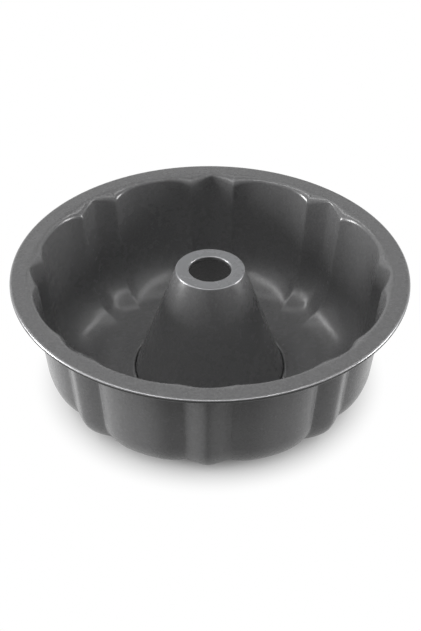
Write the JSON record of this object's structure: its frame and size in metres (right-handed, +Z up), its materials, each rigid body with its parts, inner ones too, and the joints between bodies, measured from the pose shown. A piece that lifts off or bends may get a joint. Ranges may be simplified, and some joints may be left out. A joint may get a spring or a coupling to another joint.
{
  "type": "fluted tube pan",
  "caption": "Round ring-cake pan of coated sheet steel: pointed flutes between wide lobes, a flat flange with a rolled wired edge, and a conical open centre tube.",
  "frame": {"origin": "on the pan's axis, at the level of the surface that its flat foot ring stands on", "axes": "+Z up along the pan's axis; -Y through the middle of one pointed flute, the front; +X through the middle of another"},
  "size_m": [0.26, 0.26, 0.0862],
  "materials": {
    "coating": "satin non-stick coating, fine grain",
    "wire": "plain drawn wire"
  },
  "bodies": {
    "root": {"fluted_body": "coating", "centre_tube": "coating", "rim_wire": "wire"}
  },
  "joints": []
}
